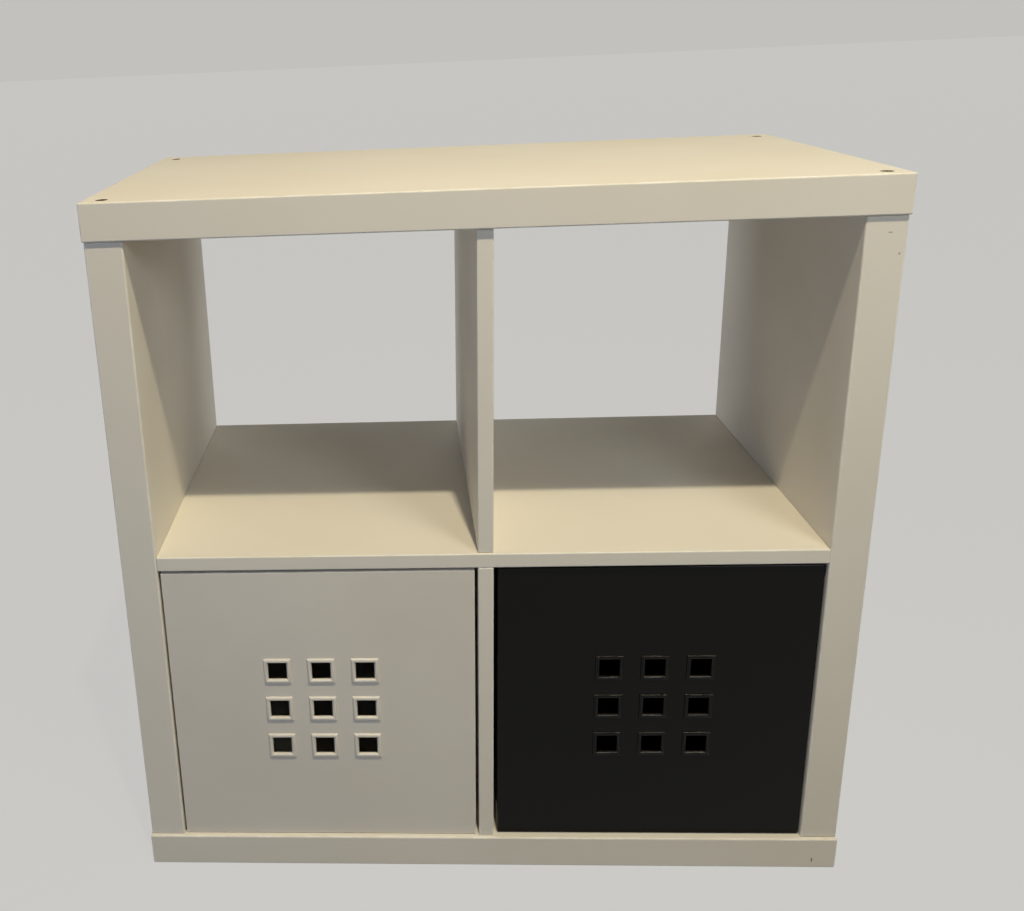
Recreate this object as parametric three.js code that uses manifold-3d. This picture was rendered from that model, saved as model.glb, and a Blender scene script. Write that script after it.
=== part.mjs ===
// A cube storage unit: a two by two shelf of thick outer boards and thin inner boards,
// open at the back, with a pull-out plastic box in each of the two lower cubbies.
// Millimetres, +Z up. The origin is the middle of the footprint, on the ground,
// and the front of the unit faces -Y.

import * as THREE from 'three';
import { RoundedBoxGeometry } from 'three/addons/geometries/RoundedBoxGeometry.js';
import { mergeVertices } from 'three/addons/utils/BufferGeometryUtils.js';
import Module from 'manifold-3d';

// Outside of the unit
const overallWidth = 765;
const overallDepth = 390;
const overallHeight = 765;

// Boards
const frameThickness = 38;
const innerThickness = 16;
const sideInset = 1;
const sideSetback = 3.5;
const upperDividerSetback = 5.5;
const boardArris = 1;

// Long socket screws through the top and bottom panels into the ends of the side panels
const screwFrontMargin = 16;
const screwBackMargin = 26;
const screwHeadDiameter = 10.6;
const screwHeadHeight = 6;
const screwHeadArris = 0.6;
const screwHeadRecess = 7;
const counterboreDiameter = 12;
const screwShankDiameter = 7;
const screwShankLength = 70;
const screwTipLength = 5;
const screwTipDiameter = 4;
const hexSocketWidth = 5;
const hexSocketDepth = 4;

// Fluted wooden dowels
const dowelDiameter = 8;
const dowelFluteDepth = 0.25;
const dowelEndChamfer = 1;
const dowelInFrameEdge = 25;
const dowelInFrameFace = 15;
const dowelInInnerEdge = 23;
const dowelFrontMargin = 80;
const dowelBackMargin = 90;

// Pull-out boxes, each a little smaller than its cubby
const boxSideGap = 2.75;
const boxTopGap = 3.2;
const boxDepthAllowance = 20;
const boxSkin = 2.5;
const boxEdgeRound = 1.5;
const boxFlangeDepth = 14;
const whiteBoxSetback = 5.3;
const whiteBoxShift = -0.6;
const blackBoxSetback = 8;
const blackBoxShift = 1.7;

// Square windows in the front of a box
const windowHole = 20;
const windowPitch = 47.4;
const rimWidth = 5;
const rimHeight = 2.3;
const rimOuterRun = 1.6;
const rimInnerRun = 1.4;

// Walls and floor of a box
const wallBeadHeight = 8;
const wallBeadThickness = 2.2;
const snapWidth = 14;
const snapLength = 6;
const snapFromFlangeMouth = 3;
const snapMargin = 45;
const floorSkirtHeight = 6;
const floorTongueLength = 30;
const floorTongueMargin = 60;

// Clearances, and one overrun for every cut
const fitGap = 0.3;
const holeEndGap = 0.6;
const runningGap = 0.3;
const cutOverrun = 2;

// Counts and shares
const windowsPerRow = 3;
const dowelFlutes = 8;
const roundSides = 20;
const snapShares = [0, 0.5, 1];
const tongueShares = [0, 0.5, 1];
const fluteWidthShare = 0.35;
const arrisSteps = 1;
const boxRoundSteps = 2;

// Places that follow from the sizes above
const frontY = -overallDepth / 2;
const backY = overallDepth / 2;
const sideHeight = overallHeight - 2 * frameThickness;
const sideOuterX = overallWidth / 2 - sideInset;
const sideInnerX = sideOuterX - frameThickness;
const sideMiddleX = (sideOuterX + sideInnerX) / 2;
const topUndersideZ = overallHeight - frameThickness;
const cubbyHeight = (sideHeight - innerThickness) / 2;
const cubbyWidth = sideInnerX - innerThickness / 2;
const shelfUndersideZ = frameThickness + cubbyHeight;
const shelfTopZ = shelfUndersideZ + innerThickness;
const cubbyMiddleX = innerThickness / 2 + cubbyWidth / 2;

const wasm = await Module();
wasm.setup();

// Solids: from a three.js geometry to a solid that can be cut, and back

function solidOf(geometry) {
  const bare = geometry.clone();
  bare.deleteAttribute('normal');
  bare.deleteAttribute('uv');
  const merged = mergeVertices(bare);
  return new wasm.Manifold(new wasm.Mesh({
    numProp: 3,
    vertProperties: new Float32Array(merged.attributes.position.array),
    triVerts: new Uint32Array(merged.index.array),
  }));
}

function geometryOf(solid) {
  const cut = solid.getMesh();
  const geometry = new THREE.BufferGeometry();
  geometry.setAttribute('position', new THREE.BufferAttribute(new Float32Array(cut.vertProperties), 3));
  geometry.setIndex(new THREE.BufferAttribute(new Uint32Array(cut.triVerts), 1));
  const faceted = geometry.toNonIndexed();
  faceted.computeVertexNormals();
  return faceted;
}

function blockBetween(low, high) {
  const size = high.map((value, axis) => value - low[axis]);
  const middle = high.map((value, axis) => (value + low[axis]) / 2);
  const geometry = new THREE.BoxGeometry(...size);
  geometry.translate(...middle);
  return solidOf(geometry);
}

function roundedBlockBetween(low, high, steps, radius) {
  const size = high.map((value, axis) => value - low[axis]);
  const middle = high.map((value, axis) => (value + low[axis]) / 2);
  const geometry = new RoundedBoxGeometry(...size, steps, radius);
  geometry.translate(...middle);
  return solidOf(geometry);
}

// Materials

function paintedBoard() {
  return new THREE.MeshStandardMaterial({ color: 0xd9d5c8, roughness: 0.45, metalness: 0 });
}

function whitePlastic() {
  return new THREE.MeshStandardMaterial({ color: 0xd3cfc2, roughness: 0.38, metalness: 0 });
}

function glossBlackPlastic() {
  return new THREE.MeshStandardMaterial({ color: 0x0b0a0b, roughness: 0.08, metalness: 0 });
}

function zincPlate() {
  return new THREE.MeshStandardMaterial({ color: 0x9a9c9e, roughness: 0.35, metalness: 1 });
}

function beech() {
  return new THREE.MeshStandardMaterial({ color: 0xc49a68, roughness: 0.7, metalness: 0 });
}

// Dowels. Each one has the middle of its length, the axis it lies along and its length.

const frontDowelY = frontY + dowelFrontMargin;
const backDowelY = backY - dowelBackMargin;
const dowelRows = [['front', frontDowelY], ['back', backDowelY]];
const sidesOfUnit = [['left', -1], ['right', 1]];

function frameDowels() {
  const length = dowelInFrameEdge + dowelInFrameFace;
  const reach = (dowelInFrameFace - dowelInFrameEdge) / 2;
  const dowels = [];
  for (const [side, toSide] of sidesOfUnit) {
    for (const [row, y] of dowelRows) {
      const x = toSide * sideMiddleX;
      dowels.push({ name: `dowel_top_${side}_${row}`, axis: 'z', length, middle: [x, y, topUndersideZ + reach] });
      dowels.push({ name: `dowel_bottom_${side}_${row}`, axis: 'z', length, middle: [x, y, frameThickness - reach] });
    }
  }
  return dowels;
}

function shelfDowels() {
  const length = dowelInInnerEdge + dowelInFrameFace;
  const reach = (dowelInFrameFace - dowelInInnerEdge) / 2;
  const z = shelfUndersideZ + innerThickness / 2;
  const dowels = [];
  for (const [side, toSide] of sidesOfUnit) {
    for (const [row, y] of dowelRows) {
      const x = toSide * (sideInnerX + reach);
      dowels.push({ name: `dowel_shelf_${side}_${row}`, axis: 'x', length, middle: [x, y, z] });
    }
  }
  return dowels;
}

function dividerDowels() {
  const endLength = dowelInInnerEdge + dowelInFrameFace;
  const reach = (dowelInFrameFace - dowelInInnerEdge) / 2;
  const throughLength = 2 * dowelInInnerEdge + innerThickness;
  const shelfMiddleZ = shelfUndersideZ + innerThickness / 2;
  const dowels = [];
  for (const [row, y] of dowelRows) {
    dowels.push(
      { name: `dowel_divider_top_${row}`, axis: 'z', length: endLength, middle: [0, y, topUndersideZ + reach] },
      { name: `dowel_divider_middle_${row}`, axis: 'z', length: throughLength, middle: [0, y, shelfMiddleZ] },
      { name: `dowel_divider_bottom_${row}`, axis: 'z', length: endLength, middle: [0, y, frameThickness - reach] },
    );
  }
  return dowels;
}

const dowels = [...frameDowels(), ...shelfDowels(), ...dividerDowels()];

function turnToAxis(geometry, axis) {
  // The geometry is made along Z
  if (axis === 'x') geometry.rotateY(Math.PI / 2);
  return geometry;
}

function polarPoint(radius, turn) {
  return new THREE.Vector2(radius * Math.cos(turn), radius * Math.sin(turn));
}

function dowelGeometry({ axis, length, middle }) {
  const outer = dowelDiameter / 2;
  const pitch = 2 * Math.PI / dowelFlutes;
  const halfLand = pitch * (1 - fluteWidthShare) / 2;
  const points = [];
  for (let flute = 0; flute < dowelFlutes; flute += 1) {
    const turn = flute * pitch;
    points.push(
      polarPoint(outer, turn - halfLand),
      polarPoint(outer, turn + halfLand),
      polarPoint(outer - dowelFluteDepth, turn + pitch / 2),
    );
  }
  const geometry = new THREE.ExtrudeGeometry(new THREE.Shape(points), {
    depth: length - 2 * dowelEndChamfer,
    bevelEnabled: true,
    bevelThickness: dowelEndChamfer,
    bevelSize: dowelEndChamfer,
    bevelOffset: -dowelEndChamfer,
    bevelSegments: 1,
  });
  geometry.translate(0, 0, dowelEndChamfer - length / 2);
  turnToAxis(geometry, axis);
  geometry.translate(...middle);
  return geometry;
}

function dowelHole({ axis, length, middle }) {
  const radius = dowelDiameter / 2 + fitGap;
  const geometry = new THREE.CylinderGeometry(radius, radius, length + 2 * holeEndGap, roundSides);
  geometry.rotateX(Math.PI / 2);
  turnToAxis(geometry, axis);
  geometry.translate(...middle);
  return solidOf(geometry);
}

// Screws. Each one is made pointing down with its head's seat at zero, then placed.

function screwPlaces() {
  const rows = [['front', frontY + screwFrontMargin], ['back', backY - screwBackMargin]];
  const seatDepth = screwHeadRecess + screwHeadHeight;
  const places = [];
  for (const [side, toSide] of sidesOfUnit) {
    for (const [row, y] of rows) {
      const x = toSide * sideMiddleX;
      places.push({ name: `screw_top_${side}_${row}`, turn: 0, at: [x, y, overallHeight - seatDepth] });
      places.push({ name: `screw_bottom_${side}_${row}`, turn: Math.PI, at: [x, y, seatDepth] });
    }
  }
  return places;
}

const screws = screwPlaces();

function placeScrewShape(geometry, { turn, at }) {
  geometry.rotateX(turn);
  geometry.translate(...at);
  return geometry;
}

function screwGeometry(place) {
  const headRadius = screwHeadDiameter / 2;
  const shankRadius = screwShankDiameter / 2;
  const profile = [
    [0, -screwShankLength],
    [screwTipDiameter / 2, -screwShankLength],
    [shankRadius, screwTipLength - screwShankLength],
    [shankRadius, 0],
    [headRadius, 0],
    [headRadius, screwHeadHeight - screwHeadArris],
    [headRadius - screwHeadArris, screwHeadHeight],
    [0, screwHeadHeight],
  ].map(([radius, z]) => new THREE.Vector2(radius, z));
  const body = new THREE.LatheGeometry(profile, roundSides);
  body.rotateX(Math.PI / 2);
  const socketRadius = hexSocketWidth / Math.sqrt(3);
  const socket = new THREE.CylinderGeometry(socketRadius, socketRadius, hexSocketDepth + cutOverrun, 6);
  socket.rotateX(Math.PI / 2);
  socket.translate(0, 0, screwHeadHeight - hexSocketDepth / 2 + cutOverrun / 2);
  const screw = geometryOf(solidOf(body).subtract(solidOf(socket)));
  return placeScrewShape(screw, place);
}

function screwHole(place) {
  const shankRadius = screwShankDiameter / 2 + fitGap;
  const shankLength = screwShankLength + holeEndGap;
  const shank = new THREE.CylinderGeometry(shankRadius, shankRadius, shankLength + cutOverrun, roundSides);
  shank.rotateX(Math.PI / 2);
  shank.translate(0, 0, (cutOverrun - shankLength) / 2);
  const boreLength = screwHeadHeight + screwHeadRecess + cutOverrun;
  const bore = new THREE.CylinderGeometry(counterboreDiameter / 2, counterboreDiameter / 2, boreLength, roundSides);
  bore.rotateX(Math.PI / 2);
  bore.translate(0, 0, boreLength / 2);
  placeScrewShape(shank, place);
  placeScrewShape(bore, place);
  return solidOf(shank).add(solidOf(bore));
}

// Boards: eased blocks, drilled for every dowel and screw that reaches them

const drilling = [...dowels.map(dowelHole), ...screws.map(screwHole)];

function board(low, high) {
  let solid = roundedBlockBetween(low, high, arrisSteps, boardArris);
  for (const hole of drilling) solid = solid.subtract(hole);
  return geometryOf(solid);
}

function panelGeometry(low, high) {
  const halfWidth = overallWidth / 2;
  return board([-halfWidth, frontY, low], [halfWidth, backY, high]);
}

function sidePanelGeometry(toSide) {
  const edges = [toSide * sideInnerX, toSide * sideOuterX].sort((a, b) => a - b);
  return board([edges[0], frontY + sideSetback, frameThickness], [edges[1], backY, topUndersideZ]);
}

function shelfGeometry() {
  return board([-sideInnerX, frontY + sideSetback, shelfUndersideZ], [sideInnerX, backY, shelfTopZ]);
}

function dividerGeometry(setback, low, high) {
  return board([-innerThickness / 2, frontY + setback, low], [innerThickness / 2, backY, high]);
}

// Boxes. A box is made with the middle of its front face's lower edge at zero,
// its front facing -Y, and is then put in its cubby.

const boxWidth = cubbyWidth - 2 * boxSideGap;
const boxHeight = cubbyHeight - boxTopGap - runningGap;
const boxDepth = overallDepth - boxDepthAllowance;
const boxHalfWidth = boxWidth / 2;
const wallOuterX = boxHalfWidth - boxSkin - fitGap;
const wallInnerX = wallOuterX - boxSkin;
const wallFrontY = boxSkin + fitGap;
const wallBackY = boxDepth - boxSkin - fitGap;
const wallLowZ = boxSkin + fitGap;
const wallHighZ = boxHeight - boxSkin - fitGap;
const floorHighZ = boxSkin + floorSkirtHeight;
const floorLowZ = floorHighZ - boxSkin;

function spread(shares, low, high) {
  return shares.map((share) => low + share * (high - low));
}

const snapHeights = spread(snapShares, snapMargin, boxHeight - snapMargin);
const tongueMiddles = spread(tongueShares, floorTongueMargin, boxDepth - floorTongueMargin);

function snapSlots(gap) {
  // Where the snap hooks of both side walls pass through the front panel's side flanges
  const mouthY = boxFlangeDepth - snapFromFlangeMouth;
  return snapHeights.map((z) => blockBetween(
    [-boxHalfWidth - cutOverrun, mouthY - snapLength - gap, z - snapWidth / 2 - gap],
    [boxHalfWidth + cutOverrun, mouthY + gap, z + snapWidth / 2 + gap],
  ));
}

function flangedPanel() {
  // A flat skin with a return flange all round, hollow at the back
  let shell = roundedBlockBetween(
    [-boxHalfWidth, 0, 0],
    [boxHalfWidth, 2 * boxFlangeDepth, boxHeight],
    boxRoundSteps,
    boxEdgeRound,
  );
  shell = shell.subtract(blockBetween(
    [-boxHalfWidth - cutOverrun, boxFlangeDepth, -cutOverrun],
    [boxHalfWidth + cutOverrun, 2 * boxFlangeDepth + cutOverrun, boxHeight + cutOverrun],
  ));
  shell = shell.subtract(blockBetween(
    [boxSkin - boxHalfWidth, boxSkin, boxSkin],
    [boxHalfWidth - boxSkin, boxFlangeDepth + cutOverrun, boxHeight - boxSkin],
  ));
  const core = blockBetween(
    [boxSkin - boxHalfWidth, -cutOverrun, 0],
    [boxHalfWidth - boxSkin, boxFlangeDepth + cutOverrun, boxHeight],
  );
  for (const slot of snapSlots(fitGap)) shell = shell.subtract(slot.subtract(core));
  return shell;
}

function windowCentres() {
  const steps = Array.from({ length: windowsPerRow }, (_, index) => index - (windowsPerRow - 1) / 2);
  return steps.flatMap((row) => steps.map((column) => [
    column * windowPitch,
    boxHeight / 2 + row * windowPitch,
  ]));
}

function windowRim([x, z]) {
  // A ridge revolved in four steps is a square ring with mitred corners
  const hole = windowHole / 2;
  const outer = hole + rimWidth;
  const sunk = boxSkin / 2;
  const profile = [
    [hole, sunk],
    [hole, 0],
    [hole + rimInnerRun, -rimHeight],
    [outer - rimOuterRun, -rimHeight],
    [outer, 0],
    [outer, sunk],
    [hole, sunk],
  ].map(([halfWidth, y]) => new THREE.Vector2(halfWidth * Math.SQRT2, y));
  const ring = new THREE.LatheGeometry(profile, 4, Math.PI / 4);
  ring.translate(x, 0, z);
  return solidOf(ring);
}

function windowCut([x, z]) {
  const half = windowHole / 2;
  return blockBetween(
    [x - half, -rimHeight - cutOverrun, z - half],
    [x + half, boxSkin + cutOverrun, z + half],
  );
}

function boxFrontGeometry() {
  let panel = flangedPanel();
  for (const centre of windowCentres()) {
    panel = panel.subtract(windowCut(centre)).add(windowRim(centre));
  }
  return geometryOf(panel);
}

function boxBackGeometry() {
  const geometry = geometryOf(flangedPanel());
  geometry.rotateZ(Math.PI);
  geometry.translate(0, boxDepth, 0);
  return geometry;
}

function snapHook(toFront, toSide, z) {
  // A wedge on the outside of the wall: thin towards the panel's skin, square behind its slot
  const mouthY = boxFlangeDepth - snapFromFlangeMouth;
  const outline = new THREE.Shape([
    new THREE.Vector2(wallOuterX - boxSkin / 2, mouthY - snapLength),
    new THREE.Vector2(wallOuterX, mouthY - snapLength),
    new THREE.Vector2(boxHalfWidth - fitGap, mouthY),
    new THREE.Vector2(wallOuterX - boxSkin / 2, mouthY),
  ]);
  const geometry = new THREE.ExtrudeGeometry(outline, { depth: snapWidth, bevelEnabled: false });
  geometry.translate(0, 0, z - snapWidth / 2);
  let hook = solidOf(geometry);
  if (!toFront) hook = hook.mirror([0, 1, 0]).translate([0, boxDepth, 0]);
  if (toSide < 0) hook = hook.mirror([1, 0, 0]);
  return hook;
}

function floorTongue(middle, gap, overrun) {
  const half = floorTongueLength / 2 + gap;
  return blockBetween(
    [wallInnerX - boxSkin, middle - half, floorLowZ - gap],
    [wallOuterX + overrun, middle + half, floorHighZ + gap],
  );
}

function boxWallGeometry(toSide) {
  let wall = blockBetween([wallInnerX, wallFrontY, wallLowZ], [wallOuterX, wallBackY, wallHighZ]);
  const beadEnd = boxFlangeDepth + fitGap;
  wall = wall.add(blockBetween(
    [wallInnerX, beadEnd, wallHighZ - wallBeadHeight],
    [wallOuterX + wallBeadThickness, boxDepth - beadEnd, wallHighZ],
  ));
  for (const middle of tongueMiddles) wall = wall.subtract(floorTongue(middle, fitGap, cutOverrun));
  if (toSide < 0) wall = wall.mirror([1, 0, 0]);
  for (const z of snapHeights) {
    for (const toFront of [true, false]) wall = wall.add(snapHook(toFront, toSide, z));
  }
  return geometryOf(wall);
}

function boxFloorGeometry() {
  // A plate with a skirt turned down all round, which stands on the flanges of the front and back
  const halfWidth = wallInnerX - fitGap;
  let floor = blockBetween([-halfWidth, wallFrontY, boxSkin], [halfWidth, wallBackY, floorHighZ]);
  floor = floor.subtract(blockBetween(
    [boxSkin - halfWidth, wallFrontY + boxSkin, boxSkin - cutOverrun],
    [halfWidth - boxSkin, wallBackY - boxSkin, floorLowZ],
  ));
  for (const middle of tongueMiddles) {
    const tongue = floorTongue(middle, 0, 0);
    floor = floor.add(tongue).add(tongue.mirror([1, 0, 0]));
  }
  return geometryOf(floor);
}

// The assembly

function addPiece(group, name, geometry, material) {
  const mesh = new THREE.Mesh(geometry, material);
  mesh.name = name;
  group.add(mesh);
}

function cabinet() {
  const group = new THREE.Group();
  addPiece(group, 'top_panel', panelGeometry(topUndersideZ, overallHeight), paintedBoard());
  addPiece(group, 'bottom_panel', panelGeometry(0, frameThickness), paintedBoard());
  addPiece(group, 'left_side_panel', sidePanelGeometry(-1), paintedBoard());
  addPiece(group, 'right_side_panel', sidePanelGeometry(1), paintedBoard());
  addPiece(group, 'middle_shelf', shelfGeometry(), paintedBoard());
  const upper = dividerGeometry(upperDividerSetback, shelfTopZ, topUndersideZ);
  const lower = dividerGeometry(sideSetback, frameThickness, shelfUndersideZ);
  addPiece(group, 'upper_divider', upper, paintedBoard());
  addPiece(group, 'lower_divider', lower, paintedBoard());
  for (const dowel of dowels) addPiece(group, dowel.name, dowelGeometry(dowel), beech());
  for (const place of screws) addPiece(group, place.name, screwGeometry(place), zincPlate());
  return group;
}

function pulloutBox(name, plastic, setback, x) {
  const group = new THREE.Group();
  addPiece(group, `${name}_front`, boxFrontGeometry(), plastic());
  addPiece(group, `${name}_back`, boxBackGeometry(), plastic());
  addPiece(group, `${name}_left_wall`, boxWallGeometry(-1), plastic());
  addPiece(group, `${name}_right_wall`, boxWallGeometry(1), plastic());
  addPiece(group, `${name}_floor`, boxFloorGeometry(), plastic());
  group.position.set(x, frontY + setback, frameThickness + runningGap);
  return group;
}

const unit = new THREE.Group();
unit.add(cabinet());
unit.add(pulloutBox('white_box', whitePlastic, whiteBoxSetback, whiteBoxShift - cubbyMiddleX));
unit.add(pulloutBox('black_box', glossBlackPlastic, blackBoxSetback, blackBoxShift + cubbyMiddleX));

export default unit;
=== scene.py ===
# %% [markdown]
# Cube storage unit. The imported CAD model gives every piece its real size, place and motion.
# This lesson gives the same pieces their looks: eased board edges, drilled holes, moulded
# box panels with raised window rims, screws with threads, and a finish for each material.
# Everything is in metres, +Z is up, and the front of the unit faces -Y.

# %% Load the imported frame
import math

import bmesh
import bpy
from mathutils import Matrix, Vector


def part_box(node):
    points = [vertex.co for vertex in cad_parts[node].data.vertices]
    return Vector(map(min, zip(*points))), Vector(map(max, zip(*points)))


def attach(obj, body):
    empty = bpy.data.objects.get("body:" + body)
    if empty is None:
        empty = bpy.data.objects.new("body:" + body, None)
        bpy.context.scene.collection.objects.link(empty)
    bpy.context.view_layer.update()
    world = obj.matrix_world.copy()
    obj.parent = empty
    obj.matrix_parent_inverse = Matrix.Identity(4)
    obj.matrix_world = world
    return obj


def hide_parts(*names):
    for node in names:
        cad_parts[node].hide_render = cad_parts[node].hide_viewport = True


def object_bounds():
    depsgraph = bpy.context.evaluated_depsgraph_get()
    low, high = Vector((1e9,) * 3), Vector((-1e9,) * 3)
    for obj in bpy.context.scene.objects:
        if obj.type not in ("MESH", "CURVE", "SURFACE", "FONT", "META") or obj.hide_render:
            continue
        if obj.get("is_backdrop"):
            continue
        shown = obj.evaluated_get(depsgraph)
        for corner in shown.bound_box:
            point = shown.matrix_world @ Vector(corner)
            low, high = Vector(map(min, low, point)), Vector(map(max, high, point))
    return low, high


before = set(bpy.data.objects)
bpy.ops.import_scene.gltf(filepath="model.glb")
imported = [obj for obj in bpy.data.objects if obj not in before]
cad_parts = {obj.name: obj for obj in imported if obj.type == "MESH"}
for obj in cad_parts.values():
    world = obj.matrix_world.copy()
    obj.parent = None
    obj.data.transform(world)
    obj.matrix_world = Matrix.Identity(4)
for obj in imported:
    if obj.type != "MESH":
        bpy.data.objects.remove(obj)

# %% [markdown]
# The picture is measured in pixels and furniture in millimetres, while Blender counts in
# metres. One named factor turns the second into the third. The corners of the CAD model are
# kept, since the screws' bores run out through its top and bottom.

MM = 0.001
cad_low, cad_high = (list(corner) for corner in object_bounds())
print("CAD box", cad_low, cad_high)

# %% [markdown]
# The camera stands where the photographer stood: a little to the left of the middle, about a
# metre in front, looking down on the top. Place, turn and focal length were solved from the
# corners of the boards in the picture. The optical centre lies up and left of the picture's
# middle, which a lens shift gives without bending the upright edges.

# %% Camera
PHOTO_WIDTH_PIXELS = 1024
PHOTO_HEIGHT_PIXELS = 911
OPTICAL_CENTRE_PIXELS = (333.7, 352.0)
FOCAL_PIXELS = 1019.6
CAMERA_PLACE = (-0.0798, -1.1377, 0.8985)
CAMERA_TURN_DEGREES = (73.128, 2.570, 3.256)
SENSOR_MM = 36

bpy.ops.object.select_all(action="DESELECT")
bpy.ops.object.camera_add(
    location=CAMERA_PLACE,
    rotation=[math.radians(angle) for angle in CAMERA_TURN_DEGREES],
)
camera = bpy.context.object
camera.name = "photo_camera"
camera.data.sensor_width = SENSOR_MM
camera.data.lens = FOCAL_PIXELS / PHOTO_WIDTH_PIXELS * SENSOR_MM
camera.data.shift_x = (PHOTO_WIDTH_PIXELS / 2 - OPTICAL_CENTRE_PIXELS[0]) / PHOTO_WIDTH_PIXELS
camera.data.shift_y = (OPTICAL_CENTRE_PIXELS[1] - PHOTO_HEIGHT_PIXELS / 2) / PHOTO_WIDTH_PIXELS
bpy.context.scene.camera = camera
print("lens", round(camera.data.lens, 2), "mm, shift", round(camera.data.shift_x, 3),
      round(camera.data.shift_y, 3))

# %% [markdown]
# A material's colour is stored in linear light, while colours read by eye are display values.
# One small helper turns the second into the first, so that colours below can be written as
# they look. The others keep the node set-ups short to read: an input takes a plain value or
# another node's socket, and a calculation or a mix of two colours is one line.

# %% Colour and node helpers
def display_colour(red, green, blue):
    """A colour as it looks on a screen, 0 to 255, as the linear colour that Blender stores."""
    linear = []
    for value in (red, green, blue):
        share = value / 255
        linear.append(share / 12.92 if share <= 0.04045 else ((share + 0.055) / 1.055) ** 2.4)
    return (*linear, 1.0)


def feed(tree, value, target):
    """Gives an input a plain value, or joins it to another node's socket."""
    if isinstance(value, bpy.types.NodeSocket):
        tree.links.new(value, target)
    else:
        target.default_value = value


def add_node(tree, kind, **settings):
    """A new node. Settings with the name of an input feed that input, others set the node."""
    node = tree.nodes.new(kind)
    for name, value in settings.items():
        label = name.replace("_", " ").title()
        if label in node.inputs:
            feed(tree, value, node.inputs[label])
        else:
            setattr(node, name, value)
    return node


def calculate(tree, operation, first, second):
    """The result of a Math node. Each of the two numbers is plain or a socket."""
    node = add_node(tree, "ShaderNodeMath", operation=operation)
    feed(tree, first, node.inputs[0])
    feed(tree, second, node.inputs[1])
    return node.outputs[0]


# The Mix node has sockets for every kind of value. These are the places of the colour ones.
MIX_FIRST = 6
MIX_SECOND = 7
MIX_RESULT = 2


def blend_colours(tree, mask, first, second):
    """The first colour where the mask is 0 and the second where it is 1."""
    node = add_node(tree, "ShaderNodeMix", data_type="RGBA", factor=mask)
    feed(tree, first, node.inputs[MIX_FIRST])
    feed(tree, second, node.inputs[MIX_SECOND])
    return node.outputs[MIX_RESULT]


def blend_shaders(tree, share, first, second, target):
    """Feeds a target the first shader where the share is 0 and the second where it is 1."""
    node = add_node(tree, "ShaderNodeMixShader")
    for place, value in enumerate((share, first, second)):
        feed(tree, value, node.inputs[place])
    feed(tree, node.outputs[0], target)


# %% [markdown]
# A pale background would normally throw a lot of light on the object. The Light Path node
# tells which rays are looking and which are only carrying light, so what is seen can be pale
# while what lights the object stays weak. Both the floor and the world use this switch.

# %% What counts as seen
def seen_by_eye(tree):
    """1 for rays from the camera, off a mirror or through glass, and 0 for all others."""
    path = add_node(tree, "ShaderNodeLightPath")
    seen = calculate(tree, "MAXIMUM", path.outputs["Is Camera Ray"], path.outputs["Is Glossy Ray"])
    return calculate(tree, "MAXIMUM", seen, path.outputs["Is Transmission Ray"])


# %% [markdown]
# The floor is one large matt sheet. Three quarters of what is seen of it is an even glow and
# the rest is lit for real, so it looks pale and still shows the object's shadow.

# %% Floor
FLOOR_SIZE = 80
FLOOR_COLOUR = display_colour(135, 133, 130)
BACKGROUND_COLOUR = display_colour(222, 221, 218)
BACKGROUND_SHARE = 0.75

bpy.ops.mesh.primitive_plane_add(size=FLOOR_SIZE, location=(0, 0, 0))
floor = bpy.context.object
floor.name = "studio_floor"
floor_finish = bpy.data.materials.new("studio_floor")
floor_finish.use_nodes = True
tree = floor_finish.node_tree
floor_shader = tree.nodes["Principled BSDF"]
floor_shader.inputs["Base Color"].default_value = FLOOR_COLOUR
floor_shader.inputs["Roughness"].default_value = 0.9
glow = add_node(tree, "ShaderNodeEmission", color=BACKGROUND_COLOUR, strength=1)
share = calculate(tree, "MULTIPLY", seen_by_eye(tree), BACKGROUND_SHARE)
blend_shaders(tree, share, floor_shader.outputs[0], glow.outputs[0],
              tree.nodes["Material Output"].inputs["Surface"])
floor.data.materials.append(floor_finish)
floor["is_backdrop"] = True

# %% [markdown]
# The world has nearly the floor's tone where it is seen, so the horizon hardly shows. To all
# other rays it is a weak warm fill, which stands for light that comes back from the room.

# %% World
SKY_COLOUR = display_colour(194, 193, 190)
FILL_COLOUR = display_colour(255, 247, 230)
FILL_STRENGTH = 0.05

world = bpy.data.worlds.new("studio_world")
bpy.context.scene.world = world
world.use_nodes = True
tree = world.node_tree
tree.nodes.clear()
fill = add_node(tree, "ShaderNodeBackground", color=FILL_COLOUR, strength=FILL_STRENGTH)
backdrop = add_node(tree, "ShaderNodeBackground", color=SKY_COLOUR, strength=1)
world_out = add_node(tree, "ShaderNodeOutputWorld")
blend_shaders(tree, seen_by_eye(tree), fill.outputs[0], backdrop.outputs[0], world_out.inputs[0])

# %% [markdown]
# The light in the picture comes from one warm lamp above and a little in front, which throws
# the top panel's shadow across the shelf and down the inner walls. A small round lamp there
# keeps that shadow. A long thin tube beside it adds little light, but draws a bright line
# along the rounded plastic edges, as a lamp does on gloss. Two cooler boxes lift the upright
# faces: a broad one from the front right, and a weak bluish one, low on the left. Three low
# suns give the back and the two sides, which the picture doesn't show, some light as well.

# %% Lamps
def add_lamp(kind, name, place, aim, energy, colour=(1, 1, 1)):
    """A lamp at a place, turned to face the aim point."""
    bpy.ops.object.select_all(action="DESELECT")
    turn = (Vector(aim) - Vector(place)).to_track_quat("-Z", "Y").to_euler()
    bpy.ops.object.light_add(type=kind, location=place, rotation=turn)
    lamp = bpy.context.object
    lamp.name = name
    lamp.data.energy = energy
    lamp.data.color = colour
    print(name, "at", place, "with energy", energy)
    return lamp


UNIT_MIDDLE = (0, 0, 0.4)
SHELF_MIDDLE = (0, -0.1, 0.5)
WARM = (1, 0.89, 0.64)
COOL = (0.93, 0.99, 1)
BLUISH = (0.35, 0.55, 1)
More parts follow.
